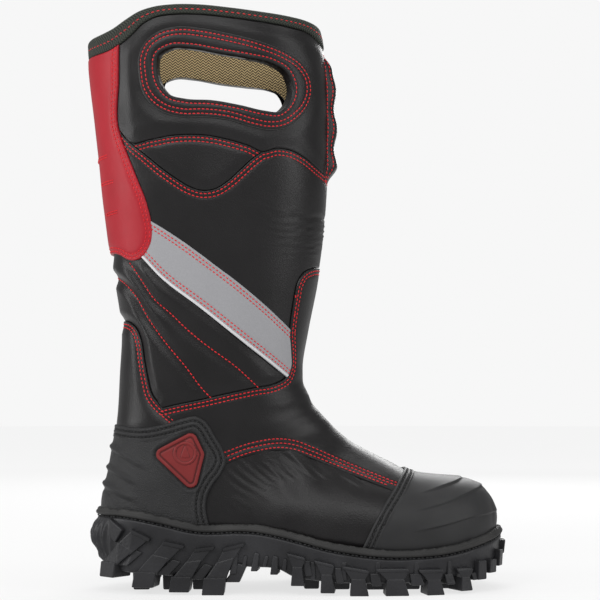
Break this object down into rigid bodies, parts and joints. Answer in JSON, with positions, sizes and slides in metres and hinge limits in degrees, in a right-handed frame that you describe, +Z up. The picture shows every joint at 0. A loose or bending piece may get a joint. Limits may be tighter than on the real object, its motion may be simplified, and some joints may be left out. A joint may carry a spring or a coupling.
{
  "type": "fire boot",
  "caption": "Pull-on structural fire-fighting boot, right foot: quilted black leather shaft with handle holes, red trim, reflective strip, rubber toe and heel guards, lugged sole.",
  "frame": {"origin": "on the floor, under the middle of the boot's outer box", "axes": "+X towards the toe, +Y the wearer's left, the inner side of this right boot, +Z up"},
  "size_m": [0.319, 0.1212, 0.4287],
  "materials": {
    "leather_black": "semi-satin full-grain",
    "leather_red": "semi-satin full-grain",
    "reflective_tape": "satin retroreflective tape",
    "rubber_black": "matte moulded",
    "tread_rubber": "matte moulded",
    "badge_red": "matte moulded",
    "lining_gold": "herringbone knit",
    "binding_tape": "herringbone tape",
    "membrane": "smooth film",
    "felt": "needled felt",
    "foam": "open-cell foam",
    "board": "pressed board",
    "steel": "bare",
    "stiffener": "thermoplastic sheet",
    "midsole_foam": "moulded foam",
    "thread_red": "waxed thread",
    "footbed_textile": "textile over foam"
  },
  "bodies": {
    "root": {"ankle_panel": "leather_black", "aramid_lining": "lining_gold", "back_strip": "leather_red", "backstay": "leather_black", "badge_lateral": "badge_red", "badge_medial": "badge_red", "collar_binding": "binding_tape", "collar_foam": "foam", "collar_panel": "leather_black", "crescent_lateral": "leather_red", "crescent_medial": "leather_red", "footbed": "footbed_textile", "handle_patch_lateral": "leather_black", "handle_patch_medial": "leather_black", "heel_counter": "rubber_black", "heel_stiffener": "stiffener", "insole_board": "board", "midsole": "midsole_foam", "moisture_barrier": "membrane", "outsole": "tread_rubber", "puncture_plate": "steel", "quarter_lateral": "leather_black", "quarter_medial": "leather_black", "reflective_strip_lateral": "reflective_tape", "reflective_strip_medial": "reflective_tape", "safety_toe": "steel", "shaft_panel": "leather_black", "shank": "steel", "shin_guard": "leather_black", "thermal_lining": "felt", "toe_guard": "rubber_black", "vamp": "leather_black", "welt_strip": "tread_rubber"}
  },
  "joints": []
}
